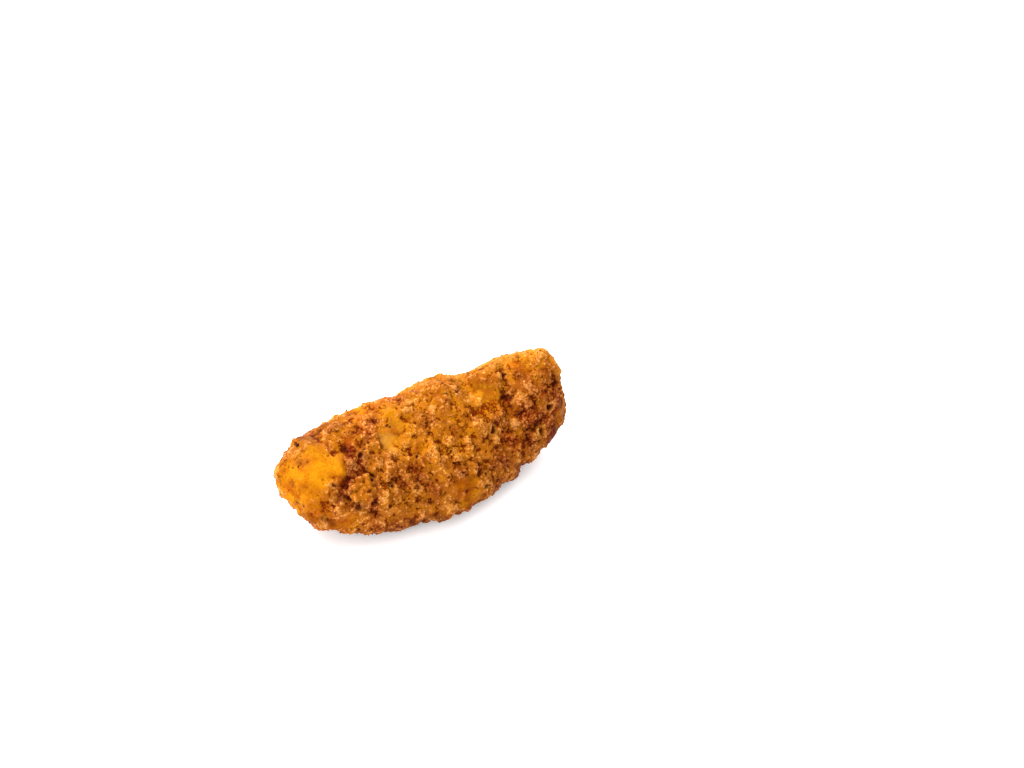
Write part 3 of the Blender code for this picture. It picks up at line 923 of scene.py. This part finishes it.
cluster = np.clip(0.5 + rough_field(points, CLUSTER_GRAIN, 2, 31.0), 0, 1)
clump_chance = (1 - bare) ** 4 * cluster**2 * np.clip(height + 0.2, 0, 1) * (1 - stain_and_shade)
clump_chance *= between(points[:, 2], CLUMP_FLOOR) * between(points[:, 0], CLUMP_TIP)
clump_sites = sites(clump_chance, CLUMP_TRIES, CLUMP_RADII, CLUMP_APART, CLUMP_COUNT, CLUMP_SEED)
clump_kinds = lump_kinds(CLUMP_KINDS, 3, CLUMP_BUMPS, 2)
for number, kind in enumerate(clump_kinds):
    curl = CLUMP_CURLS[0] + (CLUMP_CURLS[1] - CLUMP_CURLS[0]) * number / (CLUMP_KINDS - 1)
    for vert in kind.vertices:
        x, y, z = vert.co
        vert.co = (x, y, CLUMP_THICKNESS * z + curl * (x * x + y * y - 0.5))
clump_mesh = loose_piece("crust_clumps", clump_kinds, clump_sites, CLUMP_SIDES, CLUMP_SEAT, CLUMP_TILT)
shown("crust_clumps", clump_mesh, crust_finish)

# The large clump by the smooth tip. A curd of flour as big as a pea, of several knobs that grew together.
# It fried paler than the crust, with painted shade between its knobs, and stands in a hollow that is
# browner, partly its own browning and partly painted shade.

BIG_CLUMP = (  # middle of each knob in millimetres, its radius
    ((-26.0, -8.8, 22.5), 1.3), ((-28.4, -8.4, 22.3), 1.3), ((-30.7, -9.6, 21.2), 1.5),
    ((-31.3, -11.4, 19.2), 1.6), ((-28.3, -13.0, 18.5), 2.0), ((-25.8, -11.8, 19.4), 1.4),
    ((-29.4, -11.6, 19.6), 1.9), ((-27.2, -11.0, 20.4), 1.7), ((-26.6, -9.9, 21.6), 1.3),
    ((-29.0, -9.8, 21.2), 1.4),
)
BIG_CLUMP_BUMPS = ((1.1, 0.45), (2.4, 0.28))
BIG_CLUMP_VOXEL = 0.22
BIG_CLUMP_TRIANGLES = 9000
BIG_CLUMP_LEVELLING = 3
BIG_CLUMP_FAR_ROUNDS = 60
BIG_CLUMP_HEIGHT = 0.42
BIG_CLUMP_SHADE_SHARE = 0.9
BIG_CLUMP_BROWN = 0.60

knob_kinds = lump_kinds(len(BIG_CLUMP), 4, BIG_CLUMP_BUMPS, 4)
middles = np.array([middle for middle, _ in BIG_CLUMP]) * MM
big_axes = np.array([np.eye(3) * radius * MM for _, radius in BIG_CLUMP])
big_mesh, _ = heaped("big_clump_knobs", knob_kinds, range(len(BIG_CLUMP)), middles, big_axes)
big_mesh = melted(big_mesh, BIG_CLUMP_VOXEL, BIG_CLUMP_TRIANGLES)
big_points = relaxed(read(big_mesh.vertices, "co", 3), edge_pairs(big_mesh), BIG_CLUMP_LEVELLING)
big_mesh.vertices.foreach_set("co", big_points.astype(np.float32).ravel())
big_mesh.update()
# Painted shade and light: the knobs are paler on their crests and darker in the creases between them.
big_level = relaxed(big_points, edge_pairs(big_mesh), BIG_CLUMP_FAR_ROUNDS)
big_normals = read(big_mesh.vertex_normals, "vector", 3)
big_shade_level = ((big_points - big_level) * big_normals).sum(1) / MM
write(big_mesh, "height", np.clip(BIG_CLUMP_HEIGHT + BIG_CLUMP_SHADE_SHARE * big_shade_level, 0, 1))
write(big_mesh, "brown", np.full(len(big_points), BIG_CLUMP_BROWN))
for look in ("pale", "bare", "red", "stain_and_shade"):
    write(big_mesh, look, np.zeros(len(big_points)))
shown("big_clump", big_mesh, crust_finish)

# Crumbs. Grains of dry flour that fried on the outside of everything, most of them on the tops of the
# curds. Each is a small uneven lump, half sunk in the crust.

CRUMB_SEED = 33
CRUMB_KINDS = 12
CRUMB_BUMPS = ((1.2, 0.6),)
CRUMB_TRIES = 40000
CRUMB_COUNT = 3600
CRUMB_RADII = (0.18, 0.42)
CRUMB_APART = 1.1
CRUMB_SIDES = ((0.8, 1.3), (0.7, 1.1), (0.6, 1.0))
CRUMB_SEAT = (-0.6, 0.1)
CRUMB_TILT = 1.2

crumb_chance = (0.03 + (1 - bare) ** 2) * (0.1 + cluster) * np.clip(height, 0.05, 1) ** 2 * (1 - stain_and_shade)
crumb_sites = sites(crumb_chance, CRUMB_TRIES, CRUMB_RADII, CRUMB_APART, CRUMB_COUNT, CRUMB_SEED)
crumb_kinds = lump_kinds(CRUMB_KINDS, 1, CRUMB_BUMPS, 3)
crumb_mesh = loose_piece("crust_crumbs", crumb_kinds, crumb_sites, CRUMB_SIDES, CRUMB_SEAT, CRUMB_TILT)
shown("crust_crumbs", crumb_mesh, crust_finish)

# Pepper. Flakes of ground black pepper that were stirred into the batter. They are flat and angular, half
# sunk, a few of them together, and darkened by the hot fat.

PEPPER_PLACES = (  # in millimetres, and the size of the flake
    ((-40.1, 9.4, 29.1), 0.7), ((-39.8, 8.2, 29.2), 0.6), ((-45.0, 2.7, 26.6), 0.3),
    ((-45.6, 4.0, 26.7), 0.25), ((-43.4, 2.2, 27.6), 0.35), ((-40.7, 1.7, 28.4), 0.3),
    ((-47.2, -2.3, 17.6), 0.3), ((-46.7, -5.3, 18.0), 0.3), ((-38.9, -4.8, 24.4), 0.25),
    ((-36.5, -6.8, 23.1), 0.4), ((-13.5, 0.1, 31.1), 0.5), ((-13.0, -0.6, 30.8), 0.4),
    ((10.9, -19.6, 10.1), 0.55), ((9.9, -19.8, 10.3), 0.4), ((8.2, 1.4, 32.0), 0.5),
    ((8.8, 0.9, 31.8), 0.35), ((11.6, 2.4, 31.9), 0.4), ((18.4, -9.2, 21.3), 0.5),
    ((35.0, -11.4, 15.4), 0.45), ((39.8, -8.2, 20.4), 0.4), ((-12.4, -15.5, 17.5), 0.5),
    ((-11.7, -14.3, 18.6), 0.3), ((3.0, -17.0, 16.8), 0.4), ((44.9, -6.6, 24.8), 0.5),
    ((-24.7, -3.1, 26.8), 0.45), ((-30.8, -12.3, 17.0), 0.5),
)
PEPPER_STRAYS = 30
PEPPER_STRAY_RADII = (0.12, 0.28)
PEPPER_SEED = 41
PEPPER_KINDS = 8
PEPPER_BUMPS = ((1.1, 0.9),)
PEPPER_SIDES = ((0.8, 1.3), (0.4, 0.8), (0.3, 0.5))
PEPPER_SEAT = (-0.15, 0.10)
PEPPER_TILT = 0.6
PEPPER_BROWN = rgb(74, 30, 10)

pepper_finish = bpy.data.materials.new("black_pepper")
pepper_finish.use_nodes = True
pepper_shader = pepper_finish.node_tree.nodes["Principled BSDF"]
pepper_shader.inputs["Base Color"].default_value = PEPPER_BROWN
pepper_shader.inputs["Roughness"].default_value = 0.6
pepper_shader.inputs["Specular IOR Level"].default_value = 0.03

pepper_draws = np.random.default_rng(PEPPER_SEED)
skin_tree = nearby(points)
pepper_picks = [skin_tree.find(Vector(place) * MM)[1] for place, _ in PEPPER_PLACES]
pepper_sizes = [size for _, size in PEPPER_PLACES]
pepper_picks += list(pepper_draws.choice(len(points), PEPPER_STRAYS))
pepper_sizes += list(pepper_draws.uniform(*PEPPER_STRAY_RADII, PEPPER_STRAYS))
flake_kinds = lump_kinds(PEPPER_KINDS, 2, PEPPER_BUMPS, 5)
flake_sites = (np.array(pepper_picks), np.array(pepper_sizes) * MM, pepper_draws)
pepper_mesh = loose_piece("pepper_flakes", flake_kinds, flake_sites, PEPPER_SIDES, PEPPER_SEAT, PEPPER_TILT)
shown("pepper_flakes", pepper_mesh, pepper_finish)

# The table, the light and the camera. The tender lies on a plain white table, under a large soft light
# above, with two weaker ones at its left and behind it.

FLOOR_SIZE = 6.0
LENS = 85.0
SENSOR = 36.0
CAMERA_AT = (-276.25, -492.28, 514.91)
CAMERA_DOWN = 40.0
CAMERA_TURN = -32.0
TABLE_WHITE = 0.9
TABLE_GLOW = 0.22
STUDIO_LIGHT = 1.5
STUDIO_SHEEN = 0.3
LIGHT_AIM = (0, 0, 0.02)
SOFTBOXES = (  # place and side in metres, power in watts
    ("softbox_above", (-0.25, 0.30, 0.70), 0.35, 10.8),
    ("softbox_left", (-0.7, -0.3, 0.5), 0.5, 2.8),
    ("softbox_behind", (0.30, 0.55, 0.28), 0.3, 3.5),
)

floor_shape = bmesh.new()
bmesh.ops.create_grid(floor_shape, x_segments=1, y_segments=1, size=FLOOR_SIZE / 2)
floor_mesh = bpy.data.meshes.new("table")
floor_shape.to_mesh(floor_mesh)
floor_shape.free()
table = bpy.data.objects.new("table", floor_mesh)
bpy.context.scene.collection.objects.link(table)
white = bpy.data.materials.new("white_table")
white.use_nodes = True
white_shader = white.node_tree.nodes["Principled BSDF"]
white_shader.inputs["Base Color"].default_value = (TABLE_WHITE, TABLE_WHITE, TABLE_WHITE, 1)
white_shader.inputs["Roughness"].default_value = 0.7
white_shader.inputs["Specular IOR Level"].default_value = 0.2
white_shader.inputs["Emission Color"].default_value = (1, 1, 1, 1)
white_shader.inputs["Emission Strength"].default_value = TABLE_GLOW
floor_mesh.materials.append(white)

world = bpy.data.worlds.new("studio")
bpy.context.scene.world = world
world.use_nodes = True
studio = Wiring(world.node_tree)
mirrored = studio.add("ShaderNodeLightPath").outputs["Is Glossy Ray"]
dimming = studio.math("MULTIPLY", mirrored, STUDIO_LIGHT - STUDIO_SHEEN)
strength = studio.math("SUBTRACT", STUDIO_LIGHT, dimming)
background = studio.add("ShaderNodeBackground", {"Color": (1, 1, 1, 1), "Strength": strength})
studio.add("ShaderNodeOutputWorld", {"Surface": background.outputs[0]})

for name, place, side, power in SOFTBOXES:
    light = bpy.data.lights.new(name, "AREA")
    light.size = side
    light.energy = power
    lamp = bpy.data.objects.new(name, light)
    bpy.context.scene.collection.objects.link(lamp)
    lamp.location = place
    lamp.rotation_euler = (Vector(LIGHT_AIM) - Vector(place)).to_track_quat("-Z", "Y").to_euler()

camera = bpy.data.objects.new("camera", bpy.data.cameras.new("camera"))
bpy.context.scene.collection.objects.link(camera)
camera.data.lens = LENS
camera.data.sensor_width = SENSOR
camera.data.clip_start = 0.01
camera.data.clip_end = 20.0
camera.location = Vector(CAMERA_AT) * MM
camera.rotation_euler = (math.radians(90 - CAMERA_DOWN), 0, math.radians(CAMERA_TURN))
bpy.context.scene.camera = camera
bpy.context.scene.view_settings.view_transform = "Standard"
